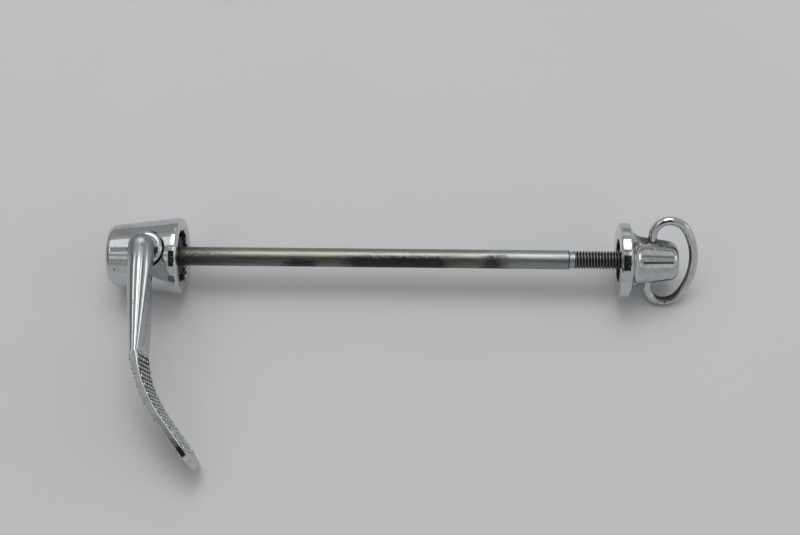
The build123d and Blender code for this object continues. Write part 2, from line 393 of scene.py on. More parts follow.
MATHS = ("ADD", "SUBTRACT", "MULTIPLY", "DIVIDE", "MULTIPLY_ADD", "MAXIMUM", "ABSOLUTE",
         "LESS_THAN", "ARCTAN2", "SINE", "COSINE", "PINGPONG")
KINDS = {
    "ramp": ("ShaderNodeMapRange", {"interpolation_type": "SMOOTHSTEP"}),
    "mix": ("ShaderNodeMix", {"data_type": "RGBA"}),
    "noise": ("ShaderNodeTexNoise", {}),
    "cells": ("ShaderNodeTexVoronoi", {}),
    "split": ("ShaderNodeSeparateXYZ", {}),
    "join": ("ShaderNodeCombineXYZ", {}),
    "distance": ("ShaderNodeVectorMath", {"operation": "DISTANCE"}),
    "dot": ("ShaderNodeVectorMath", {"operation": "DOT_PRODUCT"}),
    "length": ("ShaderNodeVectorMath", {"operation": "LENGTH"}),
    "bump": ("ShaderNodeBump", {}),
    **{name.lower(): ("ShaderNodeMath", {"operation": name}) for name in MATHS},
}


def add(tree, kind, *values, **settings):
    """Add a node with its settings and links, and give its first output.

    Values fill the open inputs in order, or one dictionary fills inputs by name. Each is a
    plain value, or an output to link from.
    """
    name, preset = KINDS.get(kind, (kind, {}))
    node = tree.nodes.new(name)
    for key, value in {**preset, **settings}.items():
        setattr(node, key, value)
    if values and isinstance(values[0], dict):
        pairs = [(node.inputs[key], value) for key, value in values[0].items()]
    else:
        pairs = zip([socket for socket in node.inputs if socket.enabled], values)
    for socket, value in pairs:
        if isinstance(value, bpy.types.NodeSocket):
            tree.links.new(value, socket)
        else:
            socket.default_value = value
    outputs = [socket for socket in node.outputs if socket.enabled]
    return outputs[0] if outputs else node


def new_material(name):
    """An empty material with its tree, object coordinates in millimetres and object normal."""
    material = bpy.data.materials.new(name)
    material.use_nodes = True
    tree = material.node_tree
    tree.nodes.clear()
    given = add(tree, "ShaderNodeTexCoord").node.outputs
    at = add(tree, "ShaderNodeMapping", {"Vector": given["Object"], "Scale": (1 / MM, 1 / MM, 1 / MM)})
    return material, tree, at, given["Normal"]


def surface(tree, colour, roughness, metallic, height, relief):
    """The shader, with a relief given in millimetres."""
    bump = add(tree, "bump", {"Height": height, "Strength": 1.0, "Distance": relief * MM})
    shader = add(tree, "ShaderNodeBsdfPrincipled", {
        "Base Color": colour, "Roughness": roughness, "Metallic": metallic, "Normal": bump})
    add(tree, "ShaderNodeOutputMaterial", {"Surface": shader})


def rgba(colour):
    """A colour with full alpha."""
    return (*colour, 1)


def near(tree, at, point, inner, outer):
    """1 within the inner distance of a point, falling to 0 at the outer one, in millimetres."""
    return add(tree, "ramp", add(tree, "distance", at, point), inner, outer, 1.0, 0.0)


def between(tree, value, rise, fall):
    """1 where a value lies between two soft edges, each given as a pair, and 0 past them."""
    return add(tree, "multiply", add(tree, "ramp", value, *rise), add(tree, "ramp", value, *fall, 1.0, 0.0))


def axis_distance(tree, at):
    """Distance from the rod's axis."""
    part = add(tree, "split", at).node.outputs
    return add(tree, "length", add(tree, "join", 0.0, part["Y"], part["Z"]))


def pits(tree, at, cell, radius, share):
    """Round pits, one in some of the cells of a random pattern, in millimetres."""
    smallest, rim = 0.4, (-0.03, 0.05)
    cells = add(tree, "cells", {"Vector": at, "Scale": 1 / cell, "Randomness": 1.0}).node.outputs
    chance = add(tree, "ShaderNodeSeparateColor", cells["Color"]).node.outputs
    reach = add(tree, "ramp", chance["Green"], 0.0, 1.0, smallest * radius / cell, radius / cell)
    spot = add(tree, "ramp", add(tree, "subtract", reach, cells["Distance"]), *rim)
    return add(tree, "multiply", spot, add(tree, "less_than", chance["Red"], share))


def chrome(name, finish, roughness, pitting, marks=(), soil_and_shade=None, dull=None):
    """Chromium plate: a mirror with a faint ripple, cloudy with fine wear, pitted by rust.

    The ripple gives reflections their uneven edges. The pits are dark, matt spots. They gather
    where marks say, as (point, inner, outer) in millimetres, with a brown bloom. Soil and dull
    are functions of the tree and its coordinates: where grease and painted shade sit, as dark,
    matt spots, and where the plate is matt.
    """
    cloud_size, grain_size, ripple_size = 3.5, 0.55, 2.6
    grain_height, patch_height, pit_height, relief_height = 0.15, 6.0, -6.0, 0.006
    matt_roughness, pit_roughness, pit_metal = 0.48, 0.6, 0.15
    material, tree, at, normal = new_material(name)
    cloud = add(tree, "noise", at, 1 / cloud_size, 5.0, 0.62)
    fine = add(tree, "noise", at, 1 / grain_size, 3.0, 0.6)
    ripple = add(tree, "noise", at, 1 / ripple_size, 1.0, 0.4)
    large = pits(tree, at, cell=1.9, radius=0.32, share=0.3 * pitting)
    small = pits(tree, at, cell=0.9, radius=0.12, share=pitting)
    spots = add(tree, "maximum", large, small)
    wear = add(tree, "ramp", cloud, 0.5, 0.8)
    relief = add(tree, "multiply_add", fine, grain_height, ripple)
    if marks:
        gather = 0.0
        for point, inner, outer in marks:
            gather = add(tree, "maximum", gather, near(tree, at, point, inner, outer))
        many = pits(tree, at, cell=1.0, radius=0.4, share=0.7)
        spots = add(tree, "maximum", spots, add(tree, "multiply", many, gather))
        rough_patch = add(tree, "multiply", gather, fine)
        wear = add(tree, "maximum", wear, rough_patch)
        relief = add(tree, "multiply_add", rough_patch, patch_height, relief)
    # Grease and painted shade go in as dark, matt spots
    if soil_and_shade:
        spots = add(tree, "maximum", spots, soil_and_shade(tree, at, normal, fine))
    colour = add(tree, "mix", wear, rgba(finish.plate), rgba(finish.haze))
    matt = 0.0
    if dull:
        matt = dull(tree, at, normal)
        colour = add(tree, "mix", matt, colour, rgba(finish.worn))
    if marks:
        bloom = add(tree, "multiply", gather, add(tree, "ramp", fine, 0.48, 0.7, 0.0, 0.6))
        colour = add(tree, "mix", bloom, colour, rgba(finish.stain))
    colour = add(tree, "mix", spots, colour, rgba(finish.pit))
    rough = add(tree, "ramp", wear, 0.0, 1.0, *roughness)
    rough = add(tree, "multiply_add", matt, matt_roughness, rough)
    rough = add(tree, "multiply_add", spots, pit_roughness, rough)
    metallic = add(tree, "multiply_add", spots, pit_metal - 1.0, 1.0)
    height = add(tree, "multiply_add", spots, pit_height, relief)
    surface(tree, colour, rough, metallic, height, relief_height)
    return material


def mouth_grease_and_shade(reach, low, high):
    """Grease and painted shade in a mouth, to a ragged radius from the rod's axis, low to high along it."""
    blot_size, raggedness = 2.2, 6.0
    edge = reach + raggedness / 2

    def soil_and_shade(tree, at, normal, fine):
        along = add(tree, "split", at)
        blot = add(tree, "noise", at, 1 / blot_size, 3.0, 0.6)
        ragged = add(tree, "multiply_add", blot, raggedness, axis_distance(tree, at))
        inside = add(tree, "ramp", ragged, edge - 0.2, edge + 0.1, 1.0, 0.0)
        return add(tree, "multiply", inside,
                   between(tree, along, (low, low + 0.2), (high - 0.1, high + 0.1)))
    return soil_and_shade


def drawn_steel(name, finish, neck):
    """Drawn mild steel with a film of old grease, wiped clean towards its zinc plated neck.

    The drawing gives fine lines along the rod, and so a soft, long highlight. The film is thick
    near the housing and on the rod's lower side, and dries there in black, speckled patches. That
    lower side is also painted darker as shade, and lighter at its bottom edge as a painted
    reflection of the floor. Patches are (from, to, reach up that side), and lengths are in
    millimetres along the rod.
    """
    line_size, cloud_size, grain_size, fleck_size = 0.3, 5.0, 0.7, 0.4
    line_stretch, unwiped_and_shaded_side = (0.06, 1.0, 1.0), (0.0, -0.9, -0.43)
    patches = ((28.0, 36.5, 0.2), (44.5, 71.5, -0.15), (80.0, 86.5, -0.3))
    material, tree, at, normal = new_material(name)
    along = add(tree, "split", at)
    stretched = add(tree, "ShaderNodeMapping", {"Vector": at, "Scale": line_stretch})
    drawn = add(tree, "noise", stretched, 1 / line_size, 4.0, 0.6)
    cloud = add(tree, "noise", at, 1 / cloud_size, 6.0, 0.65)
    grain = add(tree, "noise", at, 1 / grain_size, 3.0, 0.7)
    fleck = add(tree, "noise", at, 1 / fleck_size, 2.0, 0.6)
    side = add(tree, "dot", normal, unwiped_and_shaded_side)
    film = add(tree, "ramp", add(tree, "multiply_add", cloud, 26.0, along), 84.0, 104.0, 1.0, 0.0)
    # The rod's lower side, with a ragged edge: the mask for painted shade
    lower = add(tree, "ramp", add(tree, "multiply_add", cloud, 0.7, side), 0.05, 0.75)
    # Painted reflection of the floor: lighter again towards the bottom edge
    lower = add(tree, "multiply", lower, add(tree, "ramp", side, 0.6, 0.95, 1.0, 0.4))
    start = add(tree, "ramp", add(tree, "multiply_add", grain, 14.0, along), 8.0, 24.0, 0.9, 0.0)
    start = add(tree, "multiply", start, add(tree, "ramp", fleck, 0.4, 0.58, 0.25, 0.95))
    ragged = add(tree, "multiply_add", grain, 0.9, add(tree, "multiply_add", fleck, 0.6, side))
    onward = add(tree, "multiply_add", cloud, 9.0, along)
    backward = add(tree, "multiply_add", cloud, -9.0, along)
    black = 0.0
    for low, high, edge in patches:
        into = add(tree, "ramp", onward, low + 1.5, low + 6.5)
        out = add(tree, "ramp", backward, high - 7.5, high - 2.5, 1.0, 0.0)
        under = add(tree, "ramp", ragged, edge + 0.5, edge + 1.0)
        patch = add(tree, "multiply", add(tree, "multiply", into, out), under)
        black = add(tree, "maximum", black, patch)
    black = add(tree, "multiply", black, add(tree, "ramp", drawn, 0.3, 0.55, 0.75, 1.0))
    black = add(tree, "maximum", black, start)
    # Painted shade on the lower side, mixed in as soot, deeper where the grease film lies
    shade = add(tree, "multiply", lower, add(tree, "ramp", film, 0.0, 1.0, 0.25, 0.72))
    colour = rgba(finish.steel)
    for share, over in (
            (film, finish.patina), (shade, finish.soot_and_shade),
            (add(tree, "ramp", drawn, 0.4, 0.75, 0.0, 0.4), finish.soot_and_shade),
            # A darker ring just before the neck
            (add(tree, "ramp", along, neck - 0.5, neck - 0.2, 0.0, 0.75), finish.soot_and_shade),
            (add(tree, "ramp", along, neck - 0.1, neck + 0.1), finish.zinc),
            (add(tree, "multiply", black, 0.95), finish.grease)):
        colour = add(tree, "mix", share, colour, rgba(over))
    rough = add(tree, "multiply_add", black, 0.12, add(tree, "ramp", film, 0.0, 1.0, 0.4, 0.38))
    surface(tree, colour, rough, add(tree, "multiply_add", black, -0.6, 1.0),
            add(tree, "multiply_add", grain, 0.3, drawn), 0.012)
    return material


def greasy_thread(name, finish, crest, depth):
    """Rolled steel thread packed with black grease: bright, worn crests and dark, wet roots."""
    blot_size, raggedness = 1.3, -0.3
    material, tree, at, _ = new_material(name)
    blot = add(tree, "noise", at, 1 / blot_size, 4.0, 0.65)
    level = add(tree, "multiply_add", blot, raggedness, axis_distance(tree, at))
    bare = add(tree, "ramp", level, (crest - 0.8 * depth) / MM, (crest - 0.25 * depth) / MM)
    metal = add(tree, "mix", blot, rgba(finish.steel), rgba(finish.patina))
    colour = add(tree, "mix", bare, rgba(finish.grease), metal)
    surface(tree, colour, add(tree, "ramp", bare, 0.0, 1.0, 0.45, 0.36), bare, blot, 0.03)
    return material


def greasy_steel(name, finish):
    """Turned steel under dirty grease: near black and half wet, with streaks of bare metal."""
    blot_size = 1.6
    material, tree, at, _ = new_material(name)
    blot = add(tree, "noise", at, 1 / blot_size, 5.0, 0.65)
    bare = add(tree, "ramp", blot, 0.64, 0.8)
    colour = add(tree, "mix", bare, rgba(finish.grease), rgba(finish.soot_and_shade))
    surface(tree, colour, add(tree, "ramp", blot, 0.3, 0.7, 0.5, 0.7),
            add(tree, "ramp", bare, 0.0, 1.0, 0.0, 0.8), blot, 0.15)
    return material


def new_geometry_tree(name, inputs):
    """A Geometry Nodes tree with named inputs, the outputs of its input node and their identifiers."""
    tree = bpy.data.node_groups.new(name, "GeometryNodeTree")
    tree.interface.new_socket("Geometry", in_out="INPUT", socket_type="NodeSocketGeometry")
    keys = {}
    for label, kind in inputs.items():
        keys[label] = tree.interface.new_socket(label, in_out="INPUT", socket_type=kind).identifier
    tree.interface.new_socket("Geometry", in_out="OUTPUT", socket_type="NodeSocketGeometry")
    return tree, add(tree, "NodeGroupInput").node.outputs, keys


def grow(piece, tree, keys, values):
    """Run a Geometry Nodes tree on the object with these inputs and keep its plain mesh."""
    modifier = piece.modifiers.new(tree.name, "NODES")
    modifier.node_group = tree
    for label, value in values.items():
        modifier[keys[label]] = value
    settle(piece)


def close_tree(tree, geometry, material):
    """End a Geometry Nodes tree with plain geometry in its material."""
    real = add(tree, "GeometryNodeRealizeInstances", {"Geometry": geometry})
    dressed = add(tree, "GeometryNodeSetMaterial", {"Geometry": real, "Material": material})
    add(tree, "NodeGroupOutput", {"Geometry": dressed})


def thread_tree():
    """A right-handed thread about X: a fine tube whose radius follows a helix."""
    crest_end, root_start = 0.05, 0.40
    tree, given, keys = new_geometry_tree("Rolled thread", {
        "Start": "NodeSocketFloat", "Length": "NodeSocketFloat", "Crest radius": "NodeSocketFloat",
        "Depth": "NodeSocketFloat", "Pitch": "NodeSocketFloat", "Sides": "NodeSocketInt",
        "Steps": "NodeSocketInt", "Material": "NodeSocketMaterial"})
    tube = add(tree, "GeometryNodeMeshCylinder", {
        "Vertices": given["Sides"], "Side Segments": given["Steps"],
        "Radius": given["Crest radius"], "Depth": given["Length"]}, fill_type="NGON")
    middle = add(tree, "multiply_add", given["Length"], 0.5, given["Start"])
    laid = add(tree, "GeometryNodeTransform", {
        "Geometry": tube, "Translation": add(tree, "join", middle, 0.0, 0.0), "Rotation": (0, pi / 2, 0)})
    part = add(tree, "split", add(tree, "GeometryNodeInputPosition")).node.outputs
    turn = add(tree, "arctan2", part["Z"], part["Y"])
    phase = add(tree, "subtract", add(tree, "divide", part["X"], given["Pitch"]),
                add(tree, "divide", turn, 2 * pi))
    root = add(tree, "subtract", given["Crest radius"], given["Depth"])
    off_crest = add(tree, "pingpong", phase, 0.5)
    radius = add(tree, "ramp", off_crest, crest_end, root_start, given["Crest radius"], root)
    moved = add(tree, "join", part["X"], add(tree, "multiply", radius, add(tree, "cosine", turn)),
                add(tree, "multiply", radius, add(tree, "sine", turn)))
    cut = add(tree, "GeometryNodeSetPosition", {"Geometry": laid, "Position": moved})
    close_tree(tree, cut, given["Material"])
    return tree, keys


def wire_tree():
    """A round wire along a path of edges, with closed ends."""
    tree, given, keys = new_geometry_tree("Bent wire", {
        "Diameter": "NodeSocketFloat", "Sides": "NodeSocketInt", "Material": "NodeSocketMaterial"})
    path = add(tree, "GeometryNodeMeshToCurve", {"Mesh": given["Geometry"]})
    ring = add(tree, "GeometryNodeCurvePrimitiveCircle", {
        "Resolution": given["Sides"], "Radius": add(tree, "multiply", given["Diameter"], 0.5)})
    tube = add(tree, "GeometryNodeCurveToMesh", {"Curve": path, "Profile Curve": ring, "Fill Caps": True})
    close_tree(tree, tube, given["Material"])
    return tree, keys


def knurl_tree():
    """Blunt bosses, rounded by their plate, on points that carry their face's normal and run."""
    top, base, smallest, largest = 0.2, 0.6, 0.88, 1.12
    tree, given, keys = new_geometry_tree("Knurl", {
        "Width": "NodeSocketFloat", "Height": "NodeSocketFloat", "Sink": "NodeSocketFloat",
        "Seed": "NodeSocketInt", "Material": "NodeSocketMaterial"})
    boss = add(tree, "GeometryNodeMeshCone", {
        "Vertices": 4, "Side Segments": 1, "Radius Top": add(tree, "multiply", given["Width"], top),
        "Radius Bottom": add(tree, "multiply", given["Width"], base),
        "Depth": add(tree, "add", given["Height"], given["Sink"])}, fill_type="NGON")
    soft = add(tree, "GeometryNodeSubdivisionSurface", {"Mesh": boss, "Level": 2, "Edge Crease": 0.2})
    down = add(tree, "join", 0.0, 0.0, add(tree, "multiply", given["Sink"], -1.0))
    sunk = add(tree, "GeometryNodeTransform", {"Geometry": soft, "Translation": down})
    face = add(tree, "GeometryNodeInputNamedAttribute", {"Name": "face"}, data_type="FLOAT_VECTOR")
    run = add(tree, "GeometryNodeInputNamedAttribute", {"Name": "run"}, data_type="FLOAT_VECTOR")
    stand = add(tree, "FunctionNodeAlignRotationToVector", {"Vector": face}, axis="Z")
    aim = add(tree, "FunctionNodeAlignRotationToVector", {"Rotation": stand, "Vector": run},
              axis="X", pivot_axis="Z")
    worn = add(tree, "FunctionNodeRandomValue", smallest, largest, 0, given["Seed"])
    studs = add(tree, "GeometryNodeInstanceOnPoints", {
        "Points": given["Geometry"], "Instance": sunk, "Rotation": aim, "Scale": worn})
    close_tree(tree, studs, given["Material"])
    return tree, keys


# Pieces

class SKEWER_OT_rod(bpy.types.Operator):
    """Make the rod with its neck, and the rolled thread on its end"""
    bl_idname = "skewer.rod"
    bl_label = "Make Rod"

    def execute(self, context):
        s, finish = context.scene.skewer_rod, context.scene.skewer_finish
        thread_sides, steps_per_turn = 72, 16
        neck_end = s.plain_length + s.neck_length
        rod, neck, spigot = s.rod_diameter / 2, s.neck_diameter / 2, s.spigot_diameter / 2
        shoulder = -s.follower_depth
        stub = shoulder - s.spigot_length
        corners = [(stub, 0, 0), (stub, spigot, 2 * STEEL_EDGE), (shoulder, spigot, 0),
                   (shoulder, rod, STEEL_EDGE), (s.plain_length, rod, 1.5 * STEEL_EDGE),
                   (s.plain_length, neck, STEEL_EDGE), (neck_end, neck, 0),
                   (neck_end, neck * 0.8, 0), (neck_end, 0, 0)]
        shank = turned("rod_shank", rounded(corners, steps=5), SIDES)
        steel = drawn_steel("drawn_steel", finish, s.plain_length / MM)
        finish_piece(shank, steel, "rod", "rod_steel", "skewer_rod")

        crest = s.thread_diameter / 2
        material = greasy_thread("greasy_rolled_thread", finish, crest, s.thread_depth)
        thread = object_from(bmesh.new(), "rod_thread")
        tree, keys = thread_tree()
        grow(thread, tree, keys, {
            "Start": neck_end, "Length": s.thread_length, "Crest radius": crest,
            "Depth": s.thread_depth, "Pitch": s.thread_pitch, "Sides": thread_sides,
            "Steps": round(steps_per_turn * s.thread_length / s.thread_pitch), "Material": material})
        finish_piece(thread, material, "rod", "rod_steel")
        return {"FINISHED"}


class SKEWER_OT_inner(bpy.types.Operator):
    """Make the cam follower, thrust washer and snap ring"""
    bl_idname = "skewer.inner"
    bl_label = "Make Inner Pieces"

    def execute(self, context):
        s, lever = context.scene.skewer_rod, context.scene.skewer_lever
        washer_play, ring_steps = 0.05 * MM, 72
        material = greasy_steel("greasy_turned_steel", context.scene.skewer_finish)
        barrel, spigot, chamfer = s.follower_diameter / 2, s.spigot_diameter / 2, s.follower_chamfer
        front, back = -s.follower_depth, -s.follower_back
        stop = front - s.spigot_length
        corners = [(back, 0, 0), (back, barrel - chamfer, 0), (back + chamfer, barrel, 0),
                   (front - chamfer, barrel, 0), (front, barrel - chamfer, 0),
                   (front, spigot, 0), (stop, spigot, 0), (stop, 0, 0)]
        follower = turned("cam_follower_barrel", rounded(corners), SIDES)
        eye = cylinder("eye", 2, -1, 1, Matrix.Identity(4))
        eye.data.transform(CAM @ Matrix.Translation((-s.throw, 0, 0))
                           @ Matrix.Diagonal((s.eye_half_width, s.eye_half_length, CUT / 2, 1)))
        combine(follower, [eye], "DIFFERENCE")
        finish_piece(follower, material, "rod", "inner_steel", "cam_follower")

        low = -lever.washer_low
        high = low + lever.washer_thickness
        hole, outside = lever.tail_diameter / 2 + washer_play, lever.washer_diameter / 2
        corners = [(low, hole, 0), (low, outside, STEEL_EDGE), (high, outside, STEEL_EDGE), (high, hole, 0)]
        washer = turned("thrust_washer_plate", rounded(corners, steps=4), SMALL_SIDES, closed=True)
        washer.data.transform(CAM @ Z_FROM_X)
        finish_piece(washer, material, "lever", "inner_steel", "thrust_washer")

        low = -lever.ring_low
        high = low + lever.ring_thickness
        inner, outer = lever.groove_diameter / 2, lever.ring_diameter / 2
        bm = bmesh.new()
        rows = []
        gap_radius = outer * 0.8
        start = asin(lever.ring_gap / 2 / gap_radius)
        for i in range(ring_steps + 1):
            t = start + (2 * pi - 2 * start) * i / ring_steps
            rows.append([bm.verts.new((r * cos(t), r * sin(t), z)) for r, z in (
                (inner, low), (outer, low), (outer, high), (inner, high))])
        grid_faces(bm, rows, True)
        bm.faces.new(rows[0])
        bm.faces.new(rows[-1])
        bmesh.ops.transform(bm, matrix=CAM, verts=bm.verts)
        ring = object_from(bm, "snap_ring_wire")
        finish_piece(ring, material, "lever", "inner_steel", "snap_ring")
        return {"FINISHED"}


class SKEWER_OT_housing(bpy.types.Operator):
    """Make the tapered cam housing with the camshaft's bores"""
    bl_idname = "skewer.housing"
    bl_label = "Make Cam Housing"

    def execute(self, context):
        s, lever = context.scene.skewer_housing, context.scene.skewer_lever
        floor_rounding, rim_blend = 0.3 * MM, 14 * MM
        relief_width, relief_low = 0.8 * MM, 7.4 * MM
        floor, end = -s.bore_depth, -s.housing_length
        bore, recess, rim = s.bore_diameter / 2, s.recess_diameter / 2, s.rim_diameter / 2
        corners = [(floor, 0, 0), (floor, bore, floor_rounding), (-s.recess_depth, bore, ARRIS),
                   (-s.recess_depth, recess, ARRIS), (-s.dish_depth, recess, ARRIS),
                   (0, s.dish_diameter / 2, ARRIS), (0, rim, s.rim_rounding), (-s.rim_land, rim, rim_blend),
                   (end, s.taper_diameter / 2, s.end_rounding), (end, 0, 0)]
        housing = turned("cam_housing_cup", rounded(corners, steps=10), WIDE_SIDES)
        play = 2 * s.running_play
        cutters = [cylinder("journal", lever.journal_diameter + play, -s.cam_floor, CUT, CAM),
                   cylinder("relief", lever.journal_diameter + relief_width, relief_low, CUT, CAM),
                   cylinder("tail", lever.tail_diameter + play, -CUT, 0, CAM),
                   cylinder("seat", s.seat_diameter, -CUT, -s.washer_seat, CAM)]
        combine(housing, cutters, "DIFFERENCE")
        shoulder_pits = ((-15.0, 5.0, 8.0), 0.5, 3.5)
        # Inside the mouth, grease and painted shade darken the bore and recess
        material = chrome("chrome_plate_on_turned_steel", context.scene.skewer_finish, (0.03, 0.12), 0.8,
                          marks=[shoulder_pits], soil_and_shade=mouth_grease_and_shade(reach=6.9, low=-17.0, high=0.1))
        finish_piece(housing, material, "housing", "housing_chrome", "cam_housing")
        return {"FINISHED"}


class SKEWER_OT_lever(bpy.types.Operator):
    """Make the forged lever with its camshaft, and the knurl on its paddle"""
    bl_idname = "skewer.lever"
    bl_label = "Make Lever"

    def bar_section(self, s, run):
        """Middle, direction across, half sizes and corner radius of the arm at a run along -Y."""
        thinning = 1.2
        share = max(0.0, min(1.0, (run - s.neck_run) / (s.bend_start - s.neck_run)))
        ease = share * share * (3 - 2 * share)
        turn = s.root_angle * ease
        root = s.paddle_thickness + s.root_swell
        half = (s.arm_diameter + (root - s.arm_diameter) * share ** thinning) / 2
        deep = (s.arm_diameter + (s.paddle_width - s.arm_diameter) * ease) / 2
        lift = s.arm_lift + (s.paddle_lift - s.arm_lift) * ease
        side = s.arm_offset + (s.paddle_offset + s.root_swell / 2 - s.arm_offset) * ease
        return Vector((side, -run, lift)), Vector((cos(turn), sin(turn), 0)), half, deep, half - s.arm_flat

    def root_share(self, s, run):
        """1 at the paddle's root, falling to 0 where its edges have turned flat."""
        return max(0.0, 1 - run / s.root_run) ** 2

    def blade_length(self, s, out=0.0):
        """Length of the paddle, at a distance out from its middle."""
        return (s.bend_radius + s.paddle_thickness / 2 - out) * (s.bend_angle - s.root_angle) + s.tip_run

    def blade_at(self, s, along, out=0.0):
        """Point at a length along the paddle and out from its middle, and the direction out."""
        middle = s.bend_radius + s.paddle_thickness / 2
        radius = middle - out
        turn = min(s.root_angle + along / radius, s.bend_angle)
        past = along - (turn - s.root_angle) * radius
        first = Vector((cos(s.root_angle), sin(s.root_angle), 0))
        across = Vector((cos(turn), sin(turn), 0))
        start = Vector((s.paddle_offset, -s.bend_start, s.paddle_lift))
        return start + first * middle - across * radius + Vector((across.y, -across.x, 0)) * past, across

    def section(self, middle, across, half, deep, corner, tip_gap=1.0, tip_rounding=0.0, steps=9):
        """Loop of points round one section, which shrinks within its edge rounding of the tip."""
        support = 0.03 * MM
        widest = pi / 2
        if tip_gap < corner:
            widest = asin(sqrt(1 - (1 - tip_gap / corner) ** 2))
        quarter = []
        for k in range(steps + 1):
            a = widest * k / steps
            inset = corner * (1 - cos(a))
            reach = deep - inset - corner_inset(tip_gap - inset, tip_rounding - inset)
            quarter.append((half - corner + corner * sin(a), reach))
        flat, high = max(0.0, half - corner - support), quarter[0][1]
        top = [(-n, b) for n, b in reversed(quarter)] + [(-flat, high), (0, high), (flat, high)] + quarter
        loop = top + [(n, -b) for n, b in reversed(top)]
        return [middle + across * n + Vector((0, 0, b)) for n, b in loop]

    def arm_and_paddle(self, s):
        """The forging from its round knuckle to the paddle's tip, in the lever's own place."""
        neck_steps, arm_steps, blade_steps, tip_steps, knuckle_steps = 5, 40, 50, 28, 32
        arm_run = s.bend_start - s.neck_run
        runs = [s.neck_run * i / neck_steps for i in range(neck_steps)]
        runs += [s.neck_run + arm_run * i / arm_steps for i in range(arm_steps + 1)]
        rows = [self.section(*self.bar_section(s, run)) for run in runs]
        half = s.paddle_thickness / 2
        length = self.blade_length(s)
        end = 1.1 * s.tip_rounding
        runs = [(length - end) * i / blade_steps for i in range(1, blade_steps + 1)]
        runs += [length - end * (1 - sin(pi / 2 * i / tip_steps)) for i in range(1, tip_steps + 1)]
        for run in runs:
            root = self.root_share(s, run)
            tip = max(0.0, 1 - (length - run) / end)
            corner = s.edge_rounding + (half - s.arm_flat - s.edge_rounding) * root
            corner += (s.tip_edge - s.edge_rounding) * tip
            point, across = self.blade_at(s, run)
            extra = s.root_swell * root / 2
            rows.append(self.section(point + across * extra, across, half + extra, s.paddle_width / 2,
                                     corner, length - run, s.tip_rounding))
        bm = bmesh.new()
        rows = [[bm.verts.new(p) for p in row] for row in rows]
        grid_faces(bm, rows, True)
        bm.faces.new(rows[-1])

        half = s.arm_diameter / 2
        centre = Vector((s.arm_offset, 0, s.arm_lift))
        profile = self.section(Vector((0, 0, 0)), Vector((1, 0, 0)), half, half, half - s.arm_flat)
        profile = [p for p in profile if p.x > -SAME]
        profile.sort(key=lambda p: -atan2(p.z, p.x))
        turns = [Matrix.Rotation(pi * i / knuckle_steps, 3, "Z") for i in range(knuckle_steps + 1)]
        grid_faces(bm, [[bm.verts.new(centre + turn @ p) for p in profile] for turn in turns], False)
        bmesh.ops.remove_doubles(bm, verts=bm.verts, dist=WELD)
        bmesh.ops.dissolve_degenerate(bm, dist=SAME, edges=bm.edges)
        bmesh.ops.recalc_face_normals(bm, faces=bm.faces)
        return object_from(bm, "cam_lever")

    def camshaft(self, s):
        """Journal with the disc, eccentric and grooved tail, about the lever's axis."""
        bevel, overlap, stem_sink, stem_inset = 0.3 * MM, 0.5 * MM, 0.8 * MM, 0.1 * MM
        journal, tail, groove = s.journal_diameter / 2, s.tail_diameter / 2, s.groove_diameter / 2
        tail_top, journal_base = -s.tail_start + overlap, s.journal_low - bevel
        chamfer_top = -s.tail_reach + s.tail_chamfer * 0.8
        corners = [(-s.tail_reach, 0, 0), (-s.tail_reach, tail - s.tail_chamfer, 0),
                   (chamfer_top, tail, 0), (-s.groove_low, tail, 0),
                   (-s.groove_low, groove, 0), (-s.groove_high, groove, 0), (-s.groove_high, tail, 0),
                   (tail_top, tail, 0), (tail_top, 0, 0)]
        low = turned("tail", rounded(corners), SMALL_SIDES)
        corners = [(journal_base, 0, 0), (journal_base, journal - bevel, 0), (s.journal_low, journal, 0),
                   (s.hub_height, journal, s.hub_rounding), (s.hub_height, 0, 0)]
        top = turned("journal", rounded(corners, steps=10), 2 * SMALL_SIDES)
        for shaft in (low, top):
            shaft.data.transform(Z_FROM_X)
        throw = Matrix.Translation((-bpy.context.scene.skewer_rod.throw, 0, 0))
        cam = cylinder("eccentric", s.cam_diameter, -s.tail_start, s.journal_low, throw)
        stem = cylinder("stem", s.arm_diameter - stem_inset, s.hub_height - stem_sink, s.arm_lift,
                        Matrix.Translation((s.arm_offset, 0, 0)))
        return [low, top, cam, stem]

    def knurl_points(self, s):
        """Points of the knurl on both faces of the paddle, each with its normal and run."""
        bm = bmesh.new()
        facing = bm.verts.layers.float_vector.new("face")
        running = bm.verts.layers.float_vector.new("run")
        step, columns = s.knurl_pitch / 2, int(s.paddle_width / s.knurl_pitch)
        for out in (s.paddle_thickness / 2, -s.paddle_thickness / 2):
            length = self.blade_length(s, out)
            for row in range(int((length - s.knurl_end - s.knurl_start) / step) + 1):
                at = s.knurl_start + row * step
                place, across = self.blade_at(s, at, out)
                if out > 0:
                    place += across * (s.root_swell * self.root_share(s, at))
                reach = s.paddle_width / 2 - s.knurl_margin
                reach -= corner_inset(length - at - s.knurl_margin, s.tip_rounding - s.knurl_margin)
                for column in range(-columns, columns + 1):
                    z = (column + (row % 2) / 2) * s.knurl_pitch
                    if abs(z) <= reach + WELD:
                        point = bm.verts.new(place + Vector((0, 0, z)))
                        point[facing] = across if out > 0 else -across
                        point[running] = Vector((across.y, -across.x, 0))
        return object_from(bm, "paddle_knurl")

    def forged_skin(self, tree, at, normal):
        """Matt plate over the unpolished forging: the round knuckle and the arm's inner face."""
        s = bpy.context.scene.skewer_lever
        root, neck, hub = -s.bend_start / MM, -s.neck_run / MM, s.hub_height / MM
        back, rise = add(tree, "dot", at, CAM_BACK), add(tree, "dot", at, CAM_RISE)
        inner = add(tree, "multiply", add(tree, "ramp", add(tree, "split", normal), 0.6, 0.9),
                    add(tree, "ramp", back, root - 0.5, root + 2.5, 0.0, 0.3))
        knuckle = add(tree, "multiply", add(tree, "ramp", back, neck - 0.2, neck + 5.6, 0.0, 0.75),
                      add(tree, "ramp", rise, hub + 0.1, hub + 0.7))
        return add(tree, "maximum", inner, knuckle)

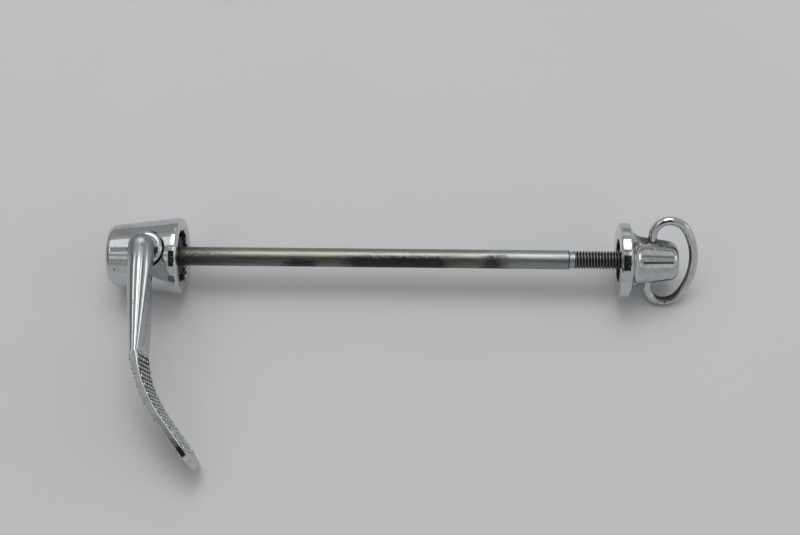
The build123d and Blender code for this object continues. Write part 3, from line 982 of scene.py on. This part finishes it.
    def groove_grime_and_shade(self, tree, at, normal, fine):
        """Grime and painted shade between the knurl's points, thinner to the tip; grease and painted
        shade at the journal's wall, and a painted dark reflection, partly grease, at the arm's foot.
        """
        s = bpy.context.scene.skewer_lever
        root, hub, journal = -s.bend_start / MM, s.hub_height / MM, s.journal_diameter / 2 / MM
        back, rise = add(tree, "dot", at, CAM_BACK), add(tree, "dot", at, CAM_RISE)
        # Painted shade and grime on the paddle's faces, in the gaps between the knurl's points
        edge = add(tree, "absolute", add(tree, "dot", normal, CAM_RISE))
        grime_and_shade = add(tree, "multiply", add(tree, "ramp", edge, 0.15, 0.4, 1.0, 0.0),
                    add(tree, "ramp", back, root - 1.1, root + 0.3, 1.0, 0.0))
        thin = add(tree, "multiply", add(tree, "ramp", back, root - 29.5, root - 10.5, 0.3, 1.0),
                   add(tree, "ramp", fine, 0.25, 0.4))
        grime_and_shade = add(tree, "multiply", grime_and_shade, thin)
        out = add(tree, "add", add(tree, "split", at), -HINGE["pos_m"][0] / MM)
        radius = add(tree, "length", add(tree, "join", out, back, 0.0))
        level = add(tree, "multiply_add", fine, 0.6, rise)
        # Painted shade and grease on the journal's wall, in the gap round the disc
        wall = between(tree, radius, (journal - 0.2, journal - 0.1), (journal + 0.07, journal + 0.15))
        wall = add(tree, "multiply", wall, add(tree, "ramp", level, hub - 0.5, hub - 0.25, 1.0, 0.0))
        # Painted dark reflection, partly grease, on the disc's top beside the arm's foot
        ragged = add(tree, "multiply_add", fine, 0.8, radius)
        foot = add(tree, "multiply", add(tree, "ramp", out, 2.3, 2.7),
                   add(tree, "ramp", ragged, journal - 0.65, journal - 0.45, 1.0, 0.0))
        front = add(tree, "multiply", add(tree, "ramp", back, -0.4, 0.8, 1.0, 0.0),
                    add(tree, "ramp", level, hub + 0.4, hub + 0.6, 1.0, 0.0))
        foot = add(tree, "multiply", foot, front)
        return add(tree, "maximum", grime_and_shade, add(tree, "maximum", wall, foot))

    def flank_marks(self):
        """Pitted marks along the arm's flank, which falls and draws in towards the paddle."""
        fall, draw, inner, outer = 0.46, 0.13, 0.5, 2.3
        return [((-3.8 + draw * y, y, 16.3 + fall * y), inner, outer) for y in range(-11, -27, -3)]

    def execute(self, context):
        s, finish = context.scene.skewer_lever, context.scene.skewer_finish
        sink, inset, seed = 0.1 * MM, 0.1 * MM, 4
        material = chrome("chrome_plate_on_forged_steel", finish, (0.04, 0.12), 0.7,
                          marks=self.flank_marks(), soil_and_shade=self.groove_grime_and_shade, dull=self.forged_skin)
        points = chrome("chrome_plate_on_knurl", finish, (0.14, 0.3), 0.0)
        lever = self.arm_and_paddle(s)
        combine(lever, self.camshaft(s), "UNION")
        lever.data.transform(CAM)
        finish_piece(lever, material, "lever", "lever_chrome", "lever")
        knurl = self.knurl_points(s)
        tree, keys = knurl_tree()
        grow(knurl, tree, keys, {"Width": s.knurl_width, "Height": s.knurl_height,
                                 "Sink": sink, "Seed": seed, "Material": points})
        reach = s.paddle_width / 2 - inset
        for corner in knurl.data.vertices:
            corner.co.z = min(max(corner.co.z, s.paddle_lift - reach), s.paddle_lift + reach)
        knurl.data.transform(CAM)
        finish_piece(knurl, points, "lever", "lever_chrome")
        return {"FINISHED"}


class SKEWER_OT_nut(bpy.types.Operator):
    """Make the flanged, conical adjusting nut with its cross hole"""
    bl_idname = "skewer.nut"
    bl_label = "Make Adjusting Nut"

    def execute(self, context):
        s, finish = context.scene.skewer_nut, context.scene.skewer_finish
        face, end = s.face_x, s.face_x + s.nut_length
        flange, recess, bore = s.flange_diameter / 2, s.recess_diameter / 2, s.bore_diameter / 2
        corners = [(face, recess, ARRIS), (face, flange - s.flange_chamfer, ARRIS),
                   (face + s.flange_chamfer, flange, ARRIS),
                   (face + s.flange_thickness, flange, s.flange_rounding),
                   (face + s.cone_start, s.cone_diameter / 2, s.waist_rounding),
                   (end, s.cone_end_diameter / 2, s.cone_rounding), (end, bore, ARRIS),
                   (face + s.recess_depth, bore, ARRIS), (face + s.recess_depth, recess, ARRIS)]
        nut = turned("adjusting_nut_cone", rounded(corners, steps=10), WIDE_SIDES, closed=True)
        along_hole = hole_place() @ Matrix.Rotation(-pi / 2, 4, "X")
        combine(nut, [cylinder("hole", s.hole_diameter, -CUT, CUT, along_hole, HOLE_SIDES)], "DIFFERENCE")
        hole_mouth = Vector((0, 6.2 * MM, 0))
        entry = tuple(hole_place() @ hole_mouth / MM)
        start = face / MM
        # Grease and painted shade darken the nut's front recess
        mouth = mouth_grease_and_shade(reach=6.0, low=start + 0.2, high=start + 4.6)

        def grime_and_shade(tree, at, normal, fine):
            """Grease and painted shade in the front recess; dirt round the wire's hole and along the cone's
            shaded side.
            """
            blot_size, shaded_side, waist = 1.3, (0.0, 0.75, 0.66), (start + 5.4, 5.0, 5.6)
            blot = add(tree, "noise", at, 1 / blot_size, 3.0, 0.65)
            ragged = add(tree, "multiply_add", blot, 0.5, add(tree, "dot", normal, shaded_side))
            along = add(tree, "split", at)
            cone = add(tree, "multiply", add(tree, "ramp", along, start + 3.1, start + 5.1),
                       add(tree, "ramp", along, start + 12.1, start + 14.1, 0.85, 0.0))
            band = add(tree, "multiply", add(tree, "ramp", ragged, 1.04, 1.14), cone)
            band = add(tree, "multiply", band, add(tree, "ramp", fine, 0.35, 0.5, 0.45, 1.0))
            dirt = add(tree, "maximum", band, mouth(tree, at, normal, fine))
            for point, inner, outer, level in ((entry, 1.5, 2.4, 0.36), (waist, 1.2, 3.4, 0.46)):
                spots = add(tree, "multiply", near(tree, at, point, inner, outer),
                            add(tree, "ramp", fine, level, level + 0.08))
                dirt = add(tree, "maximum", dirt, spots)
            return dirt

        def worn_cone(tree, at, normal):
            """The cone's plate is dulled by fingers, unlike the flange's."""
            patch_size = 1.4
            patch = add(tree, "noise", at, 1 / patch_size, 4.0, 0.65)
            return add(tree, "multiply", add(tree, "ramp", add(tree, "split", at), start + 3.6, start + 4.8),
                       add(tree, "ramp", patch, 0.35, 0.7, 0.06, 0.4))

        pitted = [(entry, 1.0, 5.5), ((start + 4.6, 4.5, 5.0), 1.0, 4.0)]
        material = chrome("chrome_plate_on_turned_nut", finish, (0.03, 0.12), 0.8,
                          marks=pitted, soil_and_shade=grime_and_shade, dull=worn_cone)
        finish_piece(nut, material, "nut", "nut_chrome", "adjusting_nut")
        return {"FINISHED"}


class SKEWER_OT_loop(bpy.types.Operator):
    """Make the wire finger loop"""
    bl_idname = "skewer.loop"
    bl_label = "Make Wire Loop"

    def execute(self, context):
        s, finish = context.scene.skewer_loop, context.scene.skewer_finish
        leg_steps, shoulder_steps, corner_steps, bow_steps, wire_sides = 6, 20, 16, 24, 40
        half = (s.loop_height - s.wire_diameter) / 2
        reach = s.loop_reach - s.wire_diameter / 2
        shoulder, corner = s.shoulder_radius, s.corner_radius
        centre = Vector((shoulder, half - corner))
        bow = self.bow_radius(centre, corner, reach)
        middle = reach - bow
        sweep = atan2(centre.y, centre.x - middle)
        leg = half - shoulder - s.wire_gap
        points = [(0, s.wire_gap + leg * i / leg_steps) for i in range(leg_steps)]
        points += [(shoulder - shoulder * cos(a), half - shoulder + shoulder * sin(a))
                   for a in (pi / 2 * i / shoulder_steps for i in range(shoulder_steps + 1))]
        points += [(centre.x + corner * sin(a), centre.y + corner * cos(a))
                   for a in ((pi / 2 - sweep) * i / corner_steps for i in range(1, corner_steps + 1))]
        points += [(middle + bow * cos(a), bow * sin(a))
                   for a in (sweep * (1 - i / bow_steps) for i in range(1, bow_steps + 1))]
        points += [(x, -y) for x, y in reversed(points[:-1])]
        bm = bmesh.new()
        line = [bm.verts.new((x, y, 0)) for x, y in points]
        for first, second in zip(line, line[1:]):
            bm.edges.new((first, second))
        loop = object_from(bm, "finger_loop")
        place = hole_place()

        def inner_grime_and_dark_reflection(tree, at, normal, fine):
            """A dark line along the inner side of the bow: a painted dark reflection, partly old grease."""
            hub, along_hole = tuple(place.translation / MM), tuple(place.col[1][:3])
            out = add(tree, "ShaderNodeVectorMath", at, hub, operation="SUBTRACT")
            way = add(tree, "ShaderNodeVectorMath", out, operation="NORMALIZE")
            low = add(tree, "ramp", add(tree, "dot", out, along_hole), -10.0, -5.0, -0.4, 0.0)
            inner = add(tree, "multiply_add", fine, 0.3, add(tree, "add", low, add(tree, "dot", normal, way)))
            return add(tree, "ramp", inner, -0.7, -0.5, 0.9, 0.0)

        low_corner = tuple(place @ Vector((5 * MM, -11 * MM, 0)) / MM)
        material = chrome("chrome_plate_on_bent_wire", finish, (0.07, 0.16), 0.5,
                          marks=[(low_corner, 1.5, 5.0)], soil_and_shade=inner_grime_and_dark_reflection)
        tree, keys = wire_tree()
        grow(loop, tree, keys, {"Diameter": s.wire_diameter, "Sides": wire_sides, "Material": material})
        loop.data.transform(place)
        finish_piece(loop, material, "loop", "wire_chrome", "wire_loop")
        return {"FINISHED"}

    def bow_radius(self, centre, corner, reach):
        """Radius of the bow that meets both corner bends and the reach."""
        rise = reach - centre.x
        return (rise ** 2 + centre.y ** 2 - corner ** 2) / (2 * (rise - corner))


# Cards on the walls of the room, each over those before it: two angles over the rod from its far
# side and their softness in degrees, two leans along the rod, the last one's softness, and a tone

CARDS = (
    (-90, 43, 5, -1.1, 1.1, 0.03, 0.32),  # far wall
    (16, 39, 7, -0.2, 1.1, 0.03, 0.62),  # pale part of it
    (84, 90, 2, 0.05, 0.3, 0.09, 0.2),  # dark card beside the strip lamps
    (85, 102, 2, -1.1, -0.33, 0.03, 0.33),  # bands along the housing
    (102, 111, 2, -1.1, -0.33, 0.03, 0.72),
    (110, 118, 2, -1.1, -0.33, 0.03, 0.33),
    (118, 129, 2, -1.1, -0.33, 0.03, 0.62),
    (129, 155, 3, -1.1, -0.33, 0.03, 0.33),
    (60, 170, 5, -1.1, -0.74, 0.03, 0.18),  # dark end wall
    (46, 59, 3, 0.3, 1.1, 0.03, 0.25),  # bands along the nut's cone
    (59, 86, 3, 0.3, 1.1, 0.03, 0.58),
    (86, 102, 4, 0.3, 0.85, 0.4, 0.18),
    (121, 134, 2, 0.3, 0.8, 0.35, 0.01),
    (135, 156, 3, 0.3, 1.1, 0.03, 0.62),
    (98.5, 106, 1.5, -0.34, -0.12, 0.03, 0.25),  # dim edge of the next card
    (100, 148, 0.5, -0.34, 0.26, 0.06, 0.02),  # black card that the rim, flange and paddle show
)
CARD_EDGE, ROOM_TONE, SEEN_TONE = 0.03, 0.44, 0.62

# Lamps: an angle over the rod in degrees, a lean along it as a sine, width, height, radiance and reach

LAMPS = {
    "window": (65, 0.01, 0.92, 0.92, 1.8, 1.5),
    "window_core": (66, 0.01, 0.8, 0.46, 1.3, 1.45),
    "window_side": (68.5, -0.475, 0.72, 0.7, 0.55, 1.5),
    "strip_1": (94, sin(radians(-38.5)), 0.28, 0.294, 1.2, 1.4),
    "strip_2": (94, sin(radians(-3.4)), 0.34, 0.294, 1.8, 1.4),
    "strip_3": (94, sin(radians(17)), 0.245, 0.294, 1.3, 1.4),
    "strip_4": (87, sin(radians(67)), 0.45, 0.5, 1.0, 1.4),
}
LIT_POINT = Vector((58 * MM, 0, 0))


class SKEWER_OT_stage(bpy.types.Operator):
    """Make the floor, the soft lights and the camera"""
    bl_idname = "skewer.stage"
    bl_label = "Make Stage"

    def lamp(self, name, over, lean, width, height, radiance, reach):
        """An area light that faces the rod from an angle over it and a lean along it."""
        flat = sqrt(1 - lean ** 2)
        way = Vector((lean, flat * cos(radians(over)), flat * sin(radians(over))))
        light = bpy.data.lights.new(name, "AREA")
        light.shape = "RECTANGLE"
        light.size, light.size_y = width, height
        light.energy = radiance * pi * width * height
        made = bpy.data.objects.new(name, light)
        bpy.context.scene.collection.objects.link(made)
        x = (Vector((1, 0, 0)) - way * way.x).normalized()
        turn = Matrix((x, way.cross(x), way)).transposed()
        made.matrix_world = Matrix.Translation(LIT_POINT + way * reach) @ turn.to_4x4()

    def floor(self, s):
        """The pale floor that the skewer lies on."""
        half_width, cloud_size, cloud_tone = 2.5, 60, 0.96
        bm = bmesh.new()
        bmesh.ops.create_grid(bm, x_segments=1, y_segments=1, size=half_width)
        bmesh.ops.translate(bm, verts=bm.verts, vec=(0, 0, CAD_BOX[0][2]))
        floor = object_from(bm, "floor")
        material, tree, at, _ = new_material("matt_paper")
        cloud = add(tree, "noise", at, 1 / cloud_size, 2.0)
        colour = add(tree, "mix", cloud, rgba(s.floor), rgba([c * cloud_tone for c in s.floor]))
        shader = add(tree, "ShaderNodeBsdfPrincipled", {
            "Base Color": colour, "Roughness": 0.8, "Specular IOR Level": 0.2})
        add(tree, "ShaderNodeOutputMaterial", {"Surface": shader})
        floor.data.materials.append(material)

    def world(self):
        """Grey room with its pale and dark cards, and an even tone where the camera sees it."""
        world = bpy.data.worlds.new("room")
        bpy.context.scene.world = world
        world.use_nodes = True
        tree = world.node_tree
        tree.nodes.clear()
        way = add(tree, "split", add(tree, "ShaderNodeTexCoord")).node.outputs
        over = add(tree, "arctan2", way["Z"], way["Y"])
        level = ROOM_TONE
        for low, high, soft, left, right, fade, tone in CARDS:
            rows = between(tree, over, (radians(low), radians(low + soft)),
                           (radians(high - soft), radians(high)))
            columns = between(tree, way["X"], (left, left + CARD_EDGE), (right - fade, right))
            level = add(tree, "ShaderNodeMix", add(tree, "multiply", rows, columns), level, tone)
        level = add(tree, "ShaderNodeMix", add(tree, "ShaderNodeLightPath"), level, SEEN_TONE)
        background = add(tree, "ShaderNodeBackground", (1, 1, 1, 1), level)
        add(tree, "ShaderNodeOutputWorld", {"Surface": background})

    def camera(self, s):
        """Camera at the photograph's angle."""
        az, el, roll = s.azimuth, s.elevation, s.roll
        back = Vector((sin(az) * cos(el), -cos(az) * cos(el), sin(el)))
        right = Vector((cos(az), sin(az), 0))
        up = back.cross(right)
        x = right * cos(roll) + up * sin(roll)
        y = up * cos(roll) - right * sin(roll)
        lens = bpy.data.cameras.new("camera")
        lens.lens, lens.sensor_width = s.lens, 36
        lens.clip_start, lens.clip_end = 0.01, 20
        made = bpy.data.objects.new("camera", lens)
        bpy.context.scene.collection.objects.link(made)
        place = Vector((s.target_x, s.target_y, 0)) + back * s.distance
        made.matrix_world = Matrix.Translation(place) @ Matrix((x, y, back)).transposed().to_4x4()
        bpy.context.scene.camera = made

    def execute(self, context):
        s = context.scene.skewer_stage
        self.floor(s)
        self.world()
        for name, values in LAMPS.items():
            self.lamp(name, *values)
        self.camera(s)
        context.scene.view_settings.view_transform = "Standard"
        return {"FINISHED"}


class SKEWER_PT_panel(bpy.types.Panel):
    """Lists the skewer's pieces and their settings"""
    bl_idname = "SKEWER_PT_panel"
    bl_label = "Quick Release Skewer"
    bl_space_type = "VIEW_3D"
    bl_region_type = "UI"
    bl_category = "Skewer"

    def draw(self, context):
        for operator in OPERATORS:
            self.layout.operator(operator.bl_idname)
        for name in SETTINGS:
            settings = getattr(context.scene, name)
            box = self.layout.box()
            box.label(text=settings.bl_rna.description)
            for key in settings.__annotations__:
                box.prop(settings, key)


SETTINGS = {"skewer_rod": RodSettings, "skewer_housing": HousingSettings, "skewer_lever": LeverSettings,
            "skewer_nut": NutSettings, "skewer_loop": LoopSettings, "skewer_finish": FinishSettings,
            "skewer_stage": StageSettings}
OPERATORS = (SKEWER_OT_rod, SKEWER_OT_inner, SKEWER_OT_housing, SKEWER_OT_lever, SKEWER_OT_nut,
             SKEWER_OT_loop, SKEWER_OT_stage)


def register():
    for name, group in SETTINGS.items():
        bpy.utils.register_class(group)
        setattr(bpy.types.Scene, name, PointerProperty(type=group))
    for operator in (*OPERATORS, SKEWER_PT_panel):
        bpy.utils.register_class(operator)


def unregister():
    for operator in reversed((*OPERATORS, SKEWER_PT_panel)):
        bpy.utils.unregister_class(operator)
    for name, group in SETTINGS.items():
        delattr(bpy.types.Scene, name)
        bpy.utils.unregister_class(group)


def main():
    register()
    bpy.ops.skewer.rod()
    bpy.ops.skewer.inner()
    bpy.ops.skewer.housing()
    bpy.ops.skewer.lever()
    bpy.ops.skewer.nut()
    bpy.ops.skewer.loop()
    bpy.ops.skewer.stage()


if __name__ == "__main__":
    main()
